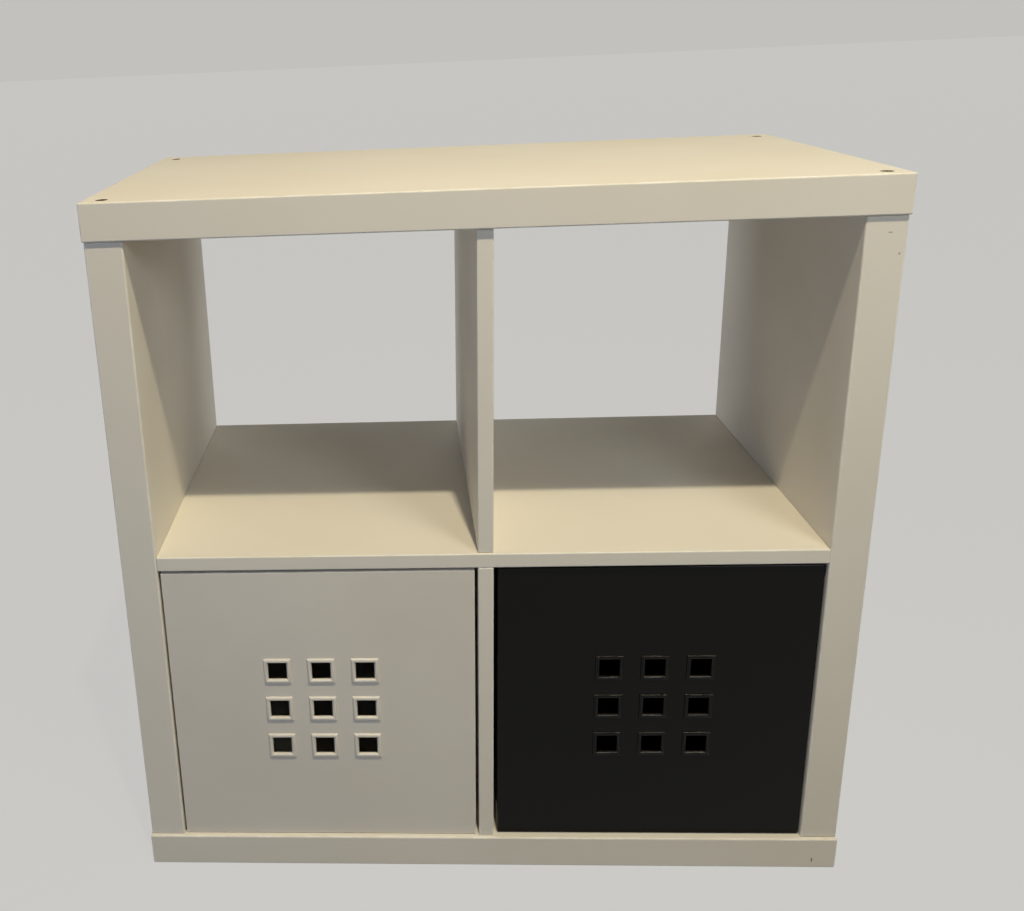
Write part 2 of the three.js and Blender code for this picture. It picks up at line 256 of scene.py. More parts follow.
# Name, place, aim, watts, colour, shape and the two sizes. A disk reads only the first size.
AREA_LAMPS = (
    ("overhead_lamp", (0.1, -1.06, 2.6), SHELF_MIDDLE, 33, WARM, "DISK", 0.07, 0.07),
    ("overhead_tube", (0.72, -1.04, 2.6), SHELF_MIDDLE, 8, WARM, "RECTANGLE", 0.6, 0.03),
    ("front_box", (0.95, -1.55, 1.4), UNIT_MIDDLE, 6.5, COOL, "DISK", 0.6, 0.6),
    ("left_box", (-0.9, -1.7, 0.7), UNIT_MIDDLE, 4, BLUISH, "DISK", 0.6, 0.6),
)
SUNS = (
    ("back_sun", (0.5, 3.0, 0.65), 0.9),
    ("right_sun", (3.0, 0.4, 0.55), 1.1),
    ("left_sun", (-3.0, 0.4, 0.55), 1.1),
)
SUN_WIDTH = math.radians(30)

for name, place, aim, watts, colour, shape, size, second_size in AREA_LAMPS:
    lamp = add_lamp("AREA", name, place, aim, watts, colour)
    lamp.data.shape = shape
    lamp.data.size = size
    lamp.data.size_y = second_size
for name, place, strength in SUNS:
    sun = add_lamp("SUN", name, place, UNIT_MIDDLE, strength)
    sun.data.angle = SUN_WIDTH
    sun.visible_glossy = False

bpy.context.scene.view_settings.view_transform = "Standard"

# %% [markdown]
# Some effects are shared by several finishes, so each is a node group. A group only hands out
# heights, masks and colours. The shader that uses them stays in each material. All groups
# start the same way: a new tree, its sockets, and its two end nodes.

# %% A helper that starts a node group
def start_group(name, inputs, outputs):
    """A node group with its sockets. Gives the group, what it is given and what it hands out."""
    group = bpy.data.node_groups.new(name, "ShaderNodeTree")
    for label, kind, value in inputs:
        socket = group.interface.new_socket(label, in_out="INPUT", socket_type=kind)
        socket.default_value = value
    for label, kind in outputs:
        group.interface.new_socket(label, in_out="OUTPUT", socket_type=kind)
    start = group.nodes.new("NodeGroupInput")
    end = group.nodes.new("NodeGroupOutput")
    return group, start.outputs, end.inputs


COLOUR = "NodeSocketColor"
NUMBER = "NodeSocketFloat"
PLACE = "NodeSocketVector"
WHITE = (1, 1, 1, 1)

# %% [markdown]
# No surface is perfectly even. Seen close it has a grain, and seen from afar it has broad
# faint patches. Two noises of very different size give both, one for the bump and one for
# colour and gloss.

# %% Fine surface texture
def make_surface_texture():
    """Height is a fine even texture. Patch is a broad, soft variation for colour and gloss."""
    group, given, result = start_group(
        "surface_texture",
        [("Place", PLACE, (0, 0, 0)), ("Fineness", NUMBER, 900), ("Patch Fineness", NUMBER, 5)],
        [("Height", NUMBER), ("Patch", NUMBER)],
    )
    fine = add_node(group, "ShaderNodeTexNoise", vector=given["Place"],
                    scale=given["Fineness"], detail=3, roughness=0.6)
    broad = add_node(group, "ShaderNodeTexNoise", vector=given["Place"],
                     scale=given["Patch Fineness"], detail=4, roughness=0.55)
    feed(group, fine.outputs["Fac"], result["Height"])
    feed(group, broad.outputs["Fac"], result["Patch"])
    return group


surface_texture = make_surface_texture()

# %% [markdown]
# Edges are what hands and cloths rub, and rounded edges catch a lamp in a bright line. The
# pieces carry an attribute that is 1 on their eased edges, and a noise breaks it up, so that
# the lighter colour comes and goes along them. That colour is wear and a painted highlight.

# %% Wear and a painted highlight on eased edges
def make_edge_wear_and_highlight():
    """Blends in a lighter colour where Edge is 1, for wear and a painted highlight, broken up so that
    it comes and goes.
    """
    group, given, result = start_group(
        "edge_wear_and_highlight",
        [("Colour", COLOUR, WHITE), ("Worn Colour", COLOUR, WHITE), ("Edge", NUMBER, 0),
         ("Place", PLACE, (0, 0, 0)), ("Fineness", NUMBER, 60), ("Amount", NUMBER, 0.5)],
        [("Colour", COLOUR), ("Mask", NUMBER)],
    )
    broken = add_node(group, "ShaderNodeTexNoise", vector=given["Place"],
                      scale=given["Fineness"], detail=5, roughness=0.65)
    steep = add_node(group, "ShaderNodeMapRange", value=broken.outputs["Fac"],
                     from_min=0.42, from_max=0.62)
    along = calculate(group, "MULTIPLY", steep.outputs["Result"], given["Edge"])
    mask = calculate(group, "MULTIPLY", along, given["Amount"])
    worn = blend_colours(group, mask, given["Colour"], given["Worn Colour"])
    feed(group, worn, result["Colour"])
    feed(group, mask, result["Mask"])
    return group


edge_wear_and_highlight = make_edge_wear_and_highlight()

# %% [markdown]
# Dust lies where a face looks up. The z of the surface's normal tells this, whatever the
# piece's shape, and a noise makes the dust uneven.

# %% Dust that settles on faces that look up
def make_settled_dust():
    """Blends in a dust colour where the surface looks up, in uneven drifts."""
    group, given, result = start_group(
        "settled_dust",
        [("Colour", COLOUR, WHITE), ("Dust Colour", COLOUR, WHITE), ("Place", PLACE, (0, 0, 0)),
         ("Fineness", NUMBER, 25), ("Amount", NUMBER, 0.1)],
        [("Colour", COLOUR), ("Mask", NUMBER)],
    )
    surface = add_node(group, "ShaderNodeNewGeometry")
    split = add_node(group, "ShaderNodeSeparateXYZ", vector=surface.outputs["Normal"])
    level = add_node(group, "ShaderNodeMapRange", value=split.outputs["Z"],
                     from_min=0.5, from_max=0.95)
    drift = add_node(group, "ShaderNodeTexNoise", vector=given["Place"],
                     scale=given["Fineness"], detail=6, roughness=0.7)
    uneven = add_node(group, "ShaderNodeMapRange", value=drift.outputs["Fac"],
                      from_min=0.35, from_max=0.7)
    spread = calculate(group, "MULTIPLY", level.outputs["Result"], uneven.outputs["Result"])
    mask = calculate(group, "MULTIPLY", spread, given["Amount"])
    dusty = blend_colours(group, mask, given["Colour"], given["Dust Colour"])
    feed(group, dusty, result["Colour"])
    feed(group, mask, result["Mask"])
    return group


settled_dust = make_settled_dust()

# %% [markdown]
# A scuff or a chip sits in one place. Its distance from a named centre, divided by its reach
# along each axis, gives a soft oval, and a little noise added to that makes its rim ragged.

# %% One small mark at a named place
def make_small_mark():
    """A ragged spot: Mask is 1 within Reach of Centre and 0 outside, with an uneven rim."""
    group, given, result = start_group(
        "small_mark",
        [("Colour", COLOUR, WHITE), ("Mark Colour", COLOUR, WHITE), ("Place", PLACE, (0, 0, 0)),
         ("Centre", PLACE, (0, 0, 0)), ("Reach", PLACE, (1, 1, 1))],
        [("Colour", COLOUR), ("Mask", NUMBER)],
    )
    offset = add_node(group, "ShaderNodeVectorMath", operation="SUBTRACT")
    share = add_node(group, "ShaderNodeVectorMath", operation="DIVIDE")
    reach = add_node(group, "ShaderNodeVectorMath", operation="LENGTH")
    feed(group, given["Place"], offset.inputs[0])
    feed(group, given["Centre"], offset.inputs[1])
    feed(group, offset.outputs[0], share.inputs[0])
    feed(group, given["Reach"], share.inputs[1])
    feed(group, share.outputs[0], reach.inputs[0])
    ragged = add_node(group, "ShaderNodeTexNoise", vector=given["Place"], scale=700, detail=2)
    edge = calculate(group, "ADD", reach.outputs["Value"], ragged.outputs["Fac"])
    inside = add_node(group, "ShaderNodeMapRange", value=edge, from_min=1.55, from_max=1.25)
    mask = inside.outputs["Result"]
    marked = blend_colours(group, mask, given["Colour"], given["Mark Colour"])
    feed(group, marked, result["Colour"])
    feed(group, mask, result["Mask"])
    return group


small_mark = make_small_mark()

# %% [markdown]
# The materials below are all built in the same few moves: start one, place a group in it,
# spread a pattern over a range of numbers or between two colours, and raise a bump.

# %% Helpers that use the groups in a material
def start_finish(name):
    """A new node material. Gives it, its tree, its Principled shader and the place on the piece."""
    finish = bpy.data.materials.new(name)
    finish.use_nodes = True
    shader = finish.node_tree.nodes["Principled BSDF"]
    place = add_node(finish.node_tree, "ShaderNodeTexCoord").outputs["Object"]
    return finish, finish.node_tree, shader, place


def use_group(tree, group, place, **values):
    """Places a group in a material and feeds its inputs."""
    node = tree.nodes.new("ShaderNodeGroup")
    node.node_tree = group
    feed(tree, place, node.inputs["Place"])
    for name, value in values.items():
        feed(tree, value, node.inputs[name.replace("_", " ").title()])
    return node


PATTERN_LOW = 0.3
PATTERN_HIGH = 0.7


def spread_pattern(tree, source, low=0, high=1):
    """Spreads the part of its range that a noise really reaches over a new range."""
    spread = add_node(tree, "ShaderNodeMapRange", value=source, from_min=PATTERN_LOW,
                      from_max=PATTERN_HIGH, to_min=low, to_max=high)
    return spread.outputs["Result"]


def vary_number(tree, source, shader_input, low, high):
    """Feeds a socket of the shader a number that drifts between two values."""
    feed(tree, spread_pattern(tree, source, low, high), shader_input)


def vary_colour(tree, source, first, second):
    """A colour that drifts from the first to the second."""
    return blend_colours(tree, spread_pattern(tree, source), first, second)


def raise_texture(tree, shader, height, depth, strength):
    """A bump from a height pattern, with its depth in metres."""
    bump = add_node(tree, "ShaderNodeBump", height=height, distance=depth, strength=strength)
    feed(tree, bump.outputs["Normal"], shader.inputs["Normal"])


# %% [markdown]
# The boards are chipboard wrapped in white painted foil. Seen close they are a warm off-white
# with a faint roller texture and a satin sheen. The eased edges are a touch lighter: rubbed a
# little, and a painted highlight. The walls of the drilled holes are raw chipboard, painted a
# darker brown than chipboard as painted shade inside them. Two small scuffs show on the right
# side panel, and a chip on the bottom panel.

# %% Painted board
BOARD_COLOUR = display_colour(230, 224, 212)
BOARD_COLOUR_AGED = display_colour(225, 218, 204)
# Lighter than the board: wear and a painted highlight along the eased edges.
BOARD_EDGE_WEAR_AND_HIGHLIGHT = display_colour(239, 234, 224)
SCUFF_COLOUR = display_colour(170, 158, 138)
# Darker than raw chipboard: painted shade inside the drilled holes.
CHIPBOARD_AND_SHADE_COLOUR = display_colour(96, 72, 46)
CHIP_COLOUR = display_colour(92, 76, 58)
BOARD_MARKS = (
    ((366 * MM, -191.5 * MM, 711 * MM), (2.4 * MM, 2 * MM, 0.6 * MM), SCUFF_COLOUR),
    ((376 * MM, -191.5 * MM, 691 * MM), (1.0 * MM, 2 * MM, 1.3 * MM), SCUFF_COLOUR),
    ((356.5 * MM, -195 * MM, 10.5 * MM), (0.7 * MM, 2 * MM, 3.0 * MM), CHIP_COLOUR),
)


def make_painted_board():
    finish, tree, shader, place = start_finish("white_board")
    texture = use_group(tree, surface_texture, place, fineness=1100, patch_fineness=4)
    edge = add_node(tree, "ShaderNodeAttribute", attribute_name="arris").outputs["Fac"]
    drilled = add_node(tree, "ShaderNodeAttribute", attribute_name="drilled").outputs["Fac"]
    tone = vary_colour(tree, texture.outputs["Patch"], BOARD_COLOUR, BOARD_COLOUR_AGED)
    worn = use_group(tree, edge_wear_and_highlight, place, colour=tone, worn_colour=BOARD_EDGE_WEAR_AND_HIGHLIGHT,
                     edge=edge, fineness=35, amount=0.8)
    # The drilled faces take the dark brown, which is chipboard and painted shade.
    colour = blend_colours(tree, drilled, worn.outputs["Colour"], CHIPBOARD_AND_SHADE_COLOUR)
    for centre, reach, mark_colour in BOARD_MARKS:
        mark = use_group(tree, small_mark, place, colour=colour, mark_colour=mark_colour,
                         centre=centre, reach=reach)
        colour = mark.outputs["Colour"]
    feed(tree, colour, shader.inputs["Base Color"])
    vary_number(tree, texture.outputs["Patch"], shader.inputs["Roughness"], 0.5, 0.6)
    shader.inputs["Specular IOR Level"].default_value = 0.2
    raise_texture(tree, shader, texture.outputs["Height"], 0.12 * MM, 0.35)
    return finish


white_board = make_painted_board()

# %% [markdown]
# The white box is moulded plastic: a shade greyer than the boards, smoother, with a fine
# spark-eroded texture. Its edges and rims are a touch lighter, worn by use and with a painted
# highlight.

# %% White plastic
PLASTIC_WHITE = display_colour(222, 216, 205)
PLASTIC_WHITE_AGED = display_colour(217, 210, 198)
# Lighter than the plastic: wear and a painted highlight on edges and rims.
PLASTIC_WHITE_EDGE_WEAR_AND_HIGHLIGHT = display_colour(235, 230, 221)
DUST_COLOUR = display_colour(150, 142, 130)


def make_white_plastic():
    finish, tree, shader, place = start_finish("white_plastic")
    texture = use_group(tree, surface_texture, place, fineness=1500, patch_fineness=6)
    edge = add_node(tree, "ShaderNodeAttribute", attribute_name="arris").outputs["Fac"]
    tone = vary_colour(tree, texture.outputs["Patch"], PLASTIC_WHITE, PLASTIC_WHITE_AGED)
    worn = use_group(tree, edge_wear_and_highlight, place, colour=tone, worn_colour=PLASTIC_WHITE_EDGE_WEAR_AND_HIGHLIGHT,
                     edge=edge, fineness=50, amount=0.7)
    dusty = use_group(tree, settled_dust, place, colour=worn.outputs["Colour"],
                      dust_colour=DUST_COLOUR, fineness=30, amount=0.12)
    feed(tree, dusty.outputs["Colour"], shader.inputs["Base Color"])
    vary_number(tree, texture.outputs["Patch"], shader.inputs["Roughness"], 0.34, 0.42)
    raise_texture(tree, shader, texture.outputs["Height"], 0.08 * MM, 0.3)
    return finish


white_plastic = make_white_plastic()

# %% [markdown]
# The black box is the same moulding in high gloss. Almost all that shows of it is what it
# mirrors, so its roughness carries the finish: very low, with faint wiped patches, a very
# shallow waviness from the mould, and a trace of dust on what looks up. Its eased edges and
# rim ridges are a lighter grey in broken lines: a painted highlight, as gloss shows them.

# %% Gloss black plastic
PLASTIC_BLACK = display_colour(12, 10, 10)
PLASTIC_BLACK_AGED = display_colour(14, 12, 12)
# A painted highlight: light grey for the black box's eased edges and rim ridges.
PLASTIC_BLACK_EDGE_HIGHLIGHT = display_colour(74, 73, 74)


def make_gloss_black():
    finish, tree, shader, place = start_finish("black_plastic")
    texture = use_group(tree, surface_texture, place, fineness=14, patch_fineness=9)
    edge = add_node(tree, "ShaderNodeAttribute", attribute_name="arris").outputs["Fac"]
    tone = vary_colour(tree, texture.outputs["Patch"], PLASTIC_BLACK, PLASTIC_BLACK_AGED)
    worn = use_group(tree, edge_wear_and_highlight, place, colour=tone, worn_colour=PLASTIC_BLACK_EDGE_HIGHLIGHT,
                     edge=edge, fineness=70, amount=0.12)
    dusty = use_group(tree, settled_dust, place, colour=worn.outputs["Colour"],
                      dust_colour=DUST_COLOUR, fineness=45, amount=0.05)
    feed(tree, dusty.outputs["Colour"], shader.inputs["Base Color"])
    vary_number(tree, texture.outputs["Patch"], shader.inputs["Roughness"], 0.05, 0.09)
    shader.inputs["Specular IOR Level"].default_value = 0.15
    raise_texture(tree, shader, texture.outputs["Height"], 0.5 * MM, 0.06)
    return finish


black_plastic = make_gloss_black()

# %% [markdown]
# The screws are zinc-plated steel, turned on a lathe, so their brightness changes in fine
# rings. The dowels are bare beech: a pale brown with short darker flecks along the grain.

# %% Zinc and beech
ZINC_LIGHT = display_colour(178, 178, 176)
ZINC_DARK = display_colour(132, 131, 128)
BEECH_LIGHT = display_colour(214, 178, 132)
BEECH_DARK = display_colour(176, 134, 90)


def make_zinc():
    finish, tree, shader, place = start_finish("zinc_steel")
    texture = use_group(tree, surface_texture, place, fineness=2600, patch_fineness=300)
    tone = vary_colour(tree, texture.outputs["Patch"], ZINC_LIGHT, ZINC_DARK)
    dusty = use_group(tree, settled_dust, place, colour=tone, dust_colour=DUST_COLOUR,
                      fineness=200, amount=0.35)
    feed(tree, dusty.outputs["Colour"], shader.inputs["Base Color"])
    shader.inputs["Metallic"].default_value = 1.0
    vary_number(tree, texture.outputs["Patch"], shader.inputs["Roughness"], 0.28, 0.45)
    raise_texture(tree, shader, texture.outputs["Height"], 0.03 * MM, 0.4)
    return finish


def make_beech():
    finish, tree, shader, place = start_finish("dowel_wood")
    stretch = add_node(tree, "ShaderNodeMapping", vector=place, scale=(1, 1, 0.12))
    texture = use_group(tree, surface_texture, stretch.outputs[0], fineness=2400, patch_fineness=700)
    tone = vary_colour(tree, texture.outputs["Patch"], BEECH_LIGHT, BEECH_DARK)
    feed(tree, tone, shader.inputs["Base Color"])
    vary_number(tree, texture.outputs["Height"], shader.inputs["Roughness"], 0.6, 0.75)
    raise_texture(tree, shader, texture.outputs["Height"], 0.1 * MM, 0.5)
    return finish


zinc_steel = make_zinc()
dowel_wood = make_beech()

# %% [markdown]
# Modelling by hand always goes the same way: take one piece, enter edit mode, pick faces or
# edges, and run an operator on them. Here a pick is a test on an edge's or a face's place and
# direction, which does what a mouse does in the window.

# %% Helpers for modelling
NEAR = 0.01 * MM
ROUGHLY = 0.1 * MM
FACING = 0.9  # a face looks along an axis when its normal's share of it is above this


def take(piece):
    """Makes a piece the only selected one and the active one."""
    bpy.ops.object.select_all(action="DESELECT")
    piece.select_set(True)
    bpy.context.view_layer.objects.active = piece


def block(name, low, high):
    """A cube added at its size and place, with the place in its mesh."""
    bpy.ops.object.select_all(action="DESELECT")
    bpy.ops.mesh.primitive_cube_add(size=1, location=(Vector(low) + Vector(high)) / 2)
    piece = bpy.context.object
    piece.name = name
    piece.data.name = name
    piece.scale = Vector(high) - Vector(low)
    bpy.ops.object.transform_apply(location=True, rotation=True, scale=True)
    return piece


def open_up(piece, mode):
    """Enters edit mode on a piece, set to pick FACE or EDGE, with nothing picked."""
    take(piece)
    bpy.ops.object.mode_set(mode="EDIT")
    bpy.ops.mesh.select_mode(type=mode)
    bpy.ops.mesh.select_all(action="DESELECT")


def pick(piece, mode, test):
    """Picks the faces or edges that pass a test, and nothing else. Gives their number."""
    bpy.ops.mesh.select_mode(type=mode)
    bpy.ops.mesh.select_all(action="DESELECT")
    mesh = bmesh.from_edit_mesh(piece.data)
    parts = mesh.faces if mode == "FACE" else mesh.edges
    chosen = [part for part in parts if test(part)]
    for part in chosen:
        part.select_set(True)
    bmesh.update_edit_mesh(piece.data)
    return len(chosen)


def close_up():
    bpy.ops.object.mode_set(mode="OBJECT")


def apply_modifier(piece, kind, **settings):
    """Adds a modifier, sets it up and applies it."""
    take(piece)
    modifier = piece.modifiers.new(kind.title(), kind)
    for name, value in settings.items():
        setattr(modifier, name, value)
    bpy.ops.object.modifier_apply(modifier=modifier.name)


def cut_with(piece, cutter):
    """Takes a cutter's shape out of a piece and throws the cutter away."""
    apply_modifier(piece, "BOOLEAN", operation="DIFFERENCE", solver="EXACT", object=cutter)
    bpy.data.objects.remove(cutter)


def join_pieces(pieces):
    """Several meshes as one object, the first one's."""
    bpy.ops.object.select_all(action="DESELECT")
    for piece in pieces:
        piece.select_set(True)
    bpy.context.view_layer.objects.active = pieces[0]
    if len(pieces) > 1:
        bpy.ops.object.join()
    return pieces[0]


# %% [markdown]
# Rounded edges only look right when the flat faces beside them stay flat. Edges sharper than
# an angle are kept sharp, the rest is smoothed, and the Weighted Normal modifier turns the
# normals of the narrow faces to those of the broad ones. The narrow faces, which are the eased
# edges, are then marked in an attribute that the finishes read as wear.

# %% Helpers that finish a piece
SMOOTH_UP_TO = math.radians(40)
STRIP_WIDTH = 0.75 * MM


def smooth_shading(piece):
    take(piece)
    bpy.ops.object.shade_smooth_by_angle(angle=SMOOTH_UP_TO)
    apply_modifier(piece, "WEIGHTED_NORMAL", keep_sharp=True, weight=80)


def mark_arrises(piece):
    """Writes the attribute arris: 1 on faces that are only a narrow strip, 0 on broad ones."""
    attribute = piece.data.attributes.new("arris", "FLOAT", "FACE")
    for face, entry in zip(piece.data.polygons, attribute.data):
        corners = [piece.data.vertices[index].co for index in face.vertices]
        length = max((corner - corners[0]).length for corner in corners)
        entry.value = 1.0 if face.area / length < STRIP_WIDTH else 0.0


def mark_drilled(board, low, high):
    """Writes the attribute drilled: 1 on faces that lie inside the board, not on its outside."""
    attribute = board.data.attributes.new("drilled", "FLOAT", "FACE")
    for face, entry in zip(board.data.polygons, attribute.data):
        depth = min(min(face.center[axis] - low[axis], high[axis] - face.center[axis])
                    for axis in range(3))
        entry.value = 1.0 if depth > FRAME_ARRIS else 0.0


def finish_piece(piece, finish, slot, body, *nodes):
    """Gives a piece its material, the body it moves with and the nodes it replaces. The slot is not
    used.
    """
    piece.data.materials.clear()
    piece.data.materials.append(finish)
    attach(piece, body)
    if nodes:
        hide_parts(*nodes)
    print(piece.name, len(piece.data.polygons), "faces, rides on", body)


# %% [markdown]
# The boards are held by dowels and by long screws, and each of these sits in a hole of its
# own. The drill follows the fastener itself: a dowel's hole is its box made a little wider
# and longer, and a screw's hole has a wide bore over its head.

# %% Drills
DOWEL_CLEARANCE = 0.3 * MM
HOLE_END_GAP = 0.6 * MM
SCREW_SHANK_DIAMETER = 7 * MM
SCREW_HEAD_HEIGHT = 6 * MM
COUNTERBORE_DIAMETER = 12 * MM
DRILL_OVERRUN = 2 * MM
DOWEL_HOLE_SIDES = 32
COUNTERBORE_SIDES = 64

dowel_nodes = sorted(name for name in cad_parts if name.startswith("dowel_"))
screw_nodes = sorted(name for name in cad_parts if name.startswith("screw_"))


def drill_bit(middle, diameter, length, axis, sides):
    """A cylinder along x or z, as a drill leaves it."""
    turn = (0, math.pi / 2, 0) if axis == "x" else (0, 0, 0)
    bpy.ops.object.select_all(action="DESELECT")
    bpy.ops.mesh.primitive_cylinder_add(
        vertices=sides, radius=diameter / 2, depth=length, location=middle, rotation=turn)
    bit = bpy.context.object
    bpy.ops.object.transform_apply(location=True, rotation=True, scale=True)
    return bit


def dowel_drill(node):
    low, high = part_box(node)
    size = high - low
    axis = "x" if size.x > size.z else "z"
    length = max(size) + 2 * HOLE_END_GAP
    diameter = min(size) + 2 * DOWEL_CLEARANCE
    return [drill_bit((low + high) / 2, diameter, length, axis, DOWEL_HOLE_SIDES)]


def screw_drills(node):
    """The shank's hole and the bore over the head, which runs out through the nearest face."""
    low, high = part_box(node)
    middle = (low + high) / 2
    from_top = middle.z > UNIT_MIDDLE[2]
    up = 1 if from_top else -1
    seat = high.z - SCREW_HEAD_HEIGHT if from_top else low.z + SCREW_HEAD_HEIGHT
    tip = low.z if from_top else high.z
    outside = cad_high[2] if from_top else cad_low[2]
    shank = (tip - up * HOLE_END_GAP, seat + up * DRILL_OVERRUN / 2)
    bore = (seat, outside + up * DRILL_OVERRUN)
    bits = []
    for (start, end), diameter, sides in (
        (shank, SCREW_SHANK_DIAMETER + 2 * DOWEL_CLEARANCE, DOWEL_HOLE_SIDES),
        (bore, COUNTERBORE_DIAMETER, COUNTERBORE_SIDES),
    ):
        place = (middle.x, middle.y, (start + end) / 2)
        bits.append(drill_bit(place, diameter, abs(end - start), "z", sides))
    return bits


def boxes_meet(first, second):
    return all(first[0][axis] < second[1][axis] and second[0][axis] < first[1][axis]
               for axis in range(3))


# %% [markdown]
# Each board is a block with its edges eased. The drills that meet it are joined and cut out
# in one go, and the rim of each screw's bore is eased too. The thick outer boards have softer
# edges than the thin inner ones.

# %% Boards
FRAME_ARRIS = 1.8 * MM
INNER_ARRIS = 1.4 * MM
ARRIS_STEPS = 4
BORE_LIP = 0.2 * MM


bore_middles = [(sum(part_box(node), Vector()) / 2).xy for node in screw_nodes]


def on_bore_lip(edge, outside):
    """True for the edges round a screw's bore, where it breaks through the outside face."""
    return all(
        abs(corner.co.z - outside) < NEAR
        and abs(math.hypot(corner.co.x - x, corner.co.y - y) - COUNTERBORE_DIAMETER / 2) < ROUGHLY
        for corner in edge.verts
        for x, y in [min(bore_middles, key=lambda middle: (corner.co.xy - middle).length)]
    )


def make_board(node, arris):
    low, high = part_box(node)
    board = block(node + "_board", low, high)
    open_up(board, "EDGE")
    bpy.ops.mesh.select_all(action="SELECT")
    bpy.ops.mesh.bevel(offset=arris, segments=ARRIS_STEPS, profile=0.5, affect="EDGES")
    close_up()
    bits = []
    for name in dowel_nodes:
        if boxes_meet(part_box(name), (low, high)):
            bits += dowel_drill(name)
    for name in screw_nodes:
        if boxes_meet(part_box(name), (low, high)):
            bits += screw_drills(name)
    cut_with(board, join_pieces(bits))
    for outside in (cad_low[2], cad_high[2]):
        open_up(board, "EDGE")
        if pick(board, "EDGE", lambda edge: on_bore_lip(edge, outside)):
            bpy.ops.mesh.bevel(offset=BORE_LIP, segments=2, profile=0.5, affect="EDGES")
        close_up()
    smooth_shading(board)
    mark_arrises(board)
    mark_drilled(board, low, high)
    finish_piece(board, white_board, "white_board", "cabinet", node)


for node in ("top_panel", "bottom_panel", "left_side_panel", "right_side_panel"):
    make_board(node, FRAME_ARRIS)
for node in ("middle_shelf", "upper_divider", "lower_divider"):
    make_board(node, INNER_ARRIS)

# %% [markdown]
# The dowels are already the right shape in CAD, flutes and all, and they sit unseen in their
# holes. They stay as they are and only take the beech finish.

# %% Dowels
for node in dowel_nodes:
    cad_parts[node].data.materials.clear()
    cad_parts[node].data.materials.append(dowel_wood)
print(len(dowel_nodes), "dowels in beech")

# %% [markdown]
# A screw is a turned head with a hexagon socket on a threaded shank. It is made once, with
# its seat at zero. The head starts as a cylinder whose upper edge is eased. A six-sided
# cutter makes the socket, and the socket's rim is eased as well.

# %% Screw head
SCREW_LENGTH = 76 * MM
HEAD_DIAMETER = 10.6 * MM
HEAD_ARRIS = 0.6 * MM
HEX_ACROSS_FLATS = 5 * MM
HEX_DEPTH = 4 * MM
SOCKET_EASE = 0.25 * MM
ROUND_SIDES = 48


def screw_head():
    """Made with the seat at zero and the socket looking up."""
    head = drill_bit((0, 0, SCREW_HEAD_HEIGHT / 2), HEAD_DIAMETER, SCREW_HEAD_HEIGHT, "z", ROUND_SIDES)
    open_up(head, "EDGE")
    pick(head, "EDGE", lambda edge: all(v.co.z > SCREW_HEAD_HEIGHT - ROUGHLY for v in edge.verts))
    bpy.ops.mesh.bevel(offset=HEAD_ARRIS, segments=3, profile=0.5, affect="EDGES")
    close_up()
    across_corners = HEX_ACROSS_FLATS / math.cos(math.pi / 6)
    depth = HEX_DEPTH + DRILL_OVERRUN
    place = (0, 0, SCREW_HEAD_HEIGHT - HEX_DEPTH + depth / 2)
    cut_with(head, drill_bit(place, across_corners, depth, "z", 6))
    open_up(head, "EDGE")
    inside = across_corners / 2 + ROUGHLY
    pick(head, "EDGE", lambda edge: all(
        v.co.z > SCREW_HEAD_HEIGHT - ROUGHLY and v.co.xy.length < inside for v in edge.verts))
    bpy.ops.mesh.bevel(offset=SOCKET_EASE, segments=2, profile=0.5, affect="EDGES")
    close_up()
    return head


# %% [markdown]
# The shank is a cylinder as wide as the bottom of the thread. Its lower end is drawn out and
# narrowed to a tip, and its upper end is widened to the plain part under the head.

# %% Screw shank
THREAD_DEPTH = 0.9 * MM
THREAD_LENGTH = 52 * MM
TIP_LENGTH = 5 * MM
TIP_DIAMETER = 4 * MM


def screw_shank():
    """A shank with its seat at zero, a tapered tip and a plain part under the head."""
    core = SCREW_SHANK_DIAMETER - 2 * THREAD_DEPTH
    low = TIP_LENGTH - (SCREW_LENGTH - SCREW_HEAD_HEIGHT)
    plain = low + THREAD_LENGTH
    shank = drill_bit((0, 0, (plain + low) / 2), core, plain - low, "z", ROUND_SIDES)
    open_up(shank, "FACE")
    pick(shank, "FACE", lambda face: face.normal.z < -FACING)
    bpy.ops.mesh.extrude_region_move(TRANSFORM_OT_translate={"value": (0, 0, -TIP_LENGTH)})
    narrow = TIP_DIAMETER / core
    bpy.ops.transform.resize(value=(narrow, narrow, 1), center_override=(0, 0, low - TIP_LENGTH))
    pick(shank, "FACE", lambda face: face.normal.z > FACING)
    wide = SCREW_SHANK_DIAMETER / core
    bpy.ops.mesh.extrude_region_move(TRANSFORM_OT_translate={"value": (0, 0, THREAD_DEPTH)})
    bpy.ops.transform.resize(value=(wide, wide, 1), center_override=(0, 0, plain))
    bpy.ops.mesh.extrude_region_move(
        TRANSFORM_OT_translate={"value": (0, 0, -plain - THREAD_DEPTH)})
    close_up()
    return shank


# %% [markdown]
# The thread is one tooth in profile: a small upright plane whose outer edge is scaled down,
# with its face taken out so that only the outline is left. The Screw modifier winds that
# outline up the shank, and the two open ends are filled.

# %% Screw thread
THREAD_PITCH = 3 * MM
THREAD_STEPS = 20
THREAD_ROOT_SHARE = 0.84
THREAD_CREST_SHARE = 0.16
THREAD_ROOT_OVERLAP = 0.2 * MM


